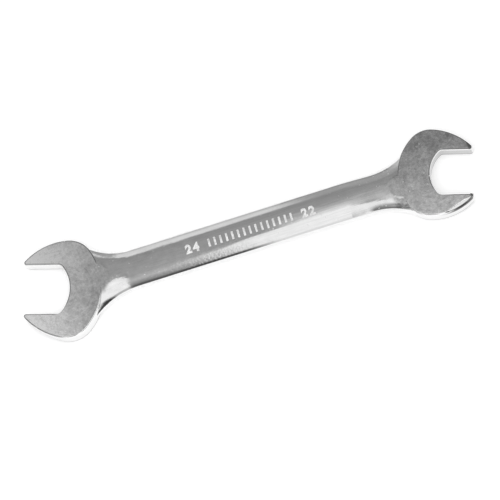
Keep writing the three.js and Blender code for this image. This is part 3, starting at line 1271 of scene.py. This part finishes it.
def light_tent():
    """The bowl of cloth. The camera looks through it, and so does the lamp's light."""
    bm = bmesh.new()
    bmesh.ops.create_uvsphere(
        bm, u_segments=TENT_SEGMENTS, v_segments=TENT_RINGS, radius=TENT_RADIUS * mm
    )
    bmesh.ops.translate(bm, verts=bm.verts, vec=(0, TENT_MIDDLE_Y * mm, 0))
    bmesh.ops.bisect_plane(
        bm,
        geom=bm.verts[:] + bm.edges[:] + bm.faces[:],
        dist=mm / 100,
        plane_co=(0, 0, TENT_HEM * mm),
        plane_no=(0, 0, -1),
        clear_outer=True,
    )
    tent = stage_piece("light_tent", bm, tent_cloth())
    tent.visible_camera = False
    tent.visible_shadow = False


def floor_paper():
    """Matt white paper that stays white to the camera and in the chrome, and keeps the shadow."""
    paper = bpy.data.materials.new("floor_paper")
    paper.use_nodes = True
    tree = paper.node_tree
    tree.nodes.clear()
    matt = add_node(tree, "ShaderNodeBsdfDiffuse")
    matt.inputs["Color"].default_value = FLOOR_COLOUR
    lift = add_node(tree, "ShaderNodeEmission")
    path = add_node(tree, "ShaderNodeLightPath")
    seen = math_node(tree, "MAXIMUM", path.outputs["Is Camera Ray"], path.outputs["Is Glossy Ray"])
    seen = math_node(tree, "MAXIMUM", seen, path.outputs["Is Transmission Ray"])
    wire(tree, times(tree, seen, FLOOR_LIFT), lift.inputs["Strength"])
    both = add_node(tree, "ShaderNodeAddShader")
    wire(tree, matt.outputs["BSDF"], both.inputs[0])
    wire(tree, lift.outputs["Emission"], both.inputs[1])
    end = add_node(tree, "ShaderNodeOutputMaterial")
    wire(tree, both.outputs["Shader"], end.inputs["Surface"])
    return paper


floor_bm = bmesh.new()
bmesh.ops.create_grid(floor_bm, x_segments=1, y_segments=1, size=FLOOR_HALF * mm)
stage_piece("floor", floor_bm, floor_paper())
light_tent()

# A broad soft lamp that brings a matt surface up to its own colour. The chrome does not mirror it.
LAMP_SIZE = 1200
LAMP_PLACE = Vector((0, -150, 1150))
LAMP_POWER = 10.5
lamp_data = bpy.data.lights.new("broad_lamp", "AREA")
lamp_data.size = LAMP_SIZE * mm
lamp_data.energy = LAMP_POWER
lamp = bpy.data.objects.new("broad_lamp", lamp_data)
lamp.location = LAMP_PLACE * mm
lamp.rotation_euler = LAMP_PLACE.to_track_quat("Z", "Y").to_euler()
lamp.visible_glossy = False
bpy.context.scene.collection.objects.link(lamp)

world = bpy.data.worlds.new("studio")
bpy.context.scene.world = world
world.use_nodes = True
world.node_tree.nodes["Background"].inputs["Color"].default_value = (1, 1, 1, 1)
world.node_tree.nodes["Background"].inputs["Strength"].default_value = 1

# Camera, as the photograph was taken. It looks down on its aim, tilts away from straight above
# towards a direction in the picture, and is turned so that the wrench lies aslant. The lens and
# the sensor are in mm too.
CAMERA_DISTANCE = 1500
CAMERA_TILT = math.radians(17)
TILT_TOWARDS = math.radians(60)
WRENCH_TURN = math.radians(16.9)
AIM = Vector((-1.277, -7.706, 4.75))
FOCAL_LENGTH = 226.26
SENSOR_WIDTH = 36
NEAREST_SEEN = 50
FARTHEST_SEEN = 20000

camera_data = bpy.data.cameras.new("camera")
camera_data.lens = FOCAL_LENGTH
camera_data.sensor_width = SENSOR_WIDTH
camera_data.clip_start = NEAREST_SEEN * mm
camera_data.clip_end = FARTHEST_SEEN * mm
camera = bpy.data.objects.new("camera", camera_data)
bpy.context.scene.collection.objects.link(camera)
tilt_axis = Vector((math.sin(TILT_TOWARDS), math.cos(TILT_TOWARDS), 0))
stand = Matrix.Rotation(-WRENCH_TURN, 4, "Z") @ Matrix.Rotation(CAMERA_TILT, 4, tilt_axis)
back_off = Matrix.Translation((0, 0, CAMERA_DISTANCE * mm))
camera.matrix_world = Matrix.Translation(AIM * mm) @ stand @ back_off
bpy.context.scene.camera = camera

bpy.context.scene.view_settings.view_transform = "Standard"

bpy.context.view_layer.update()
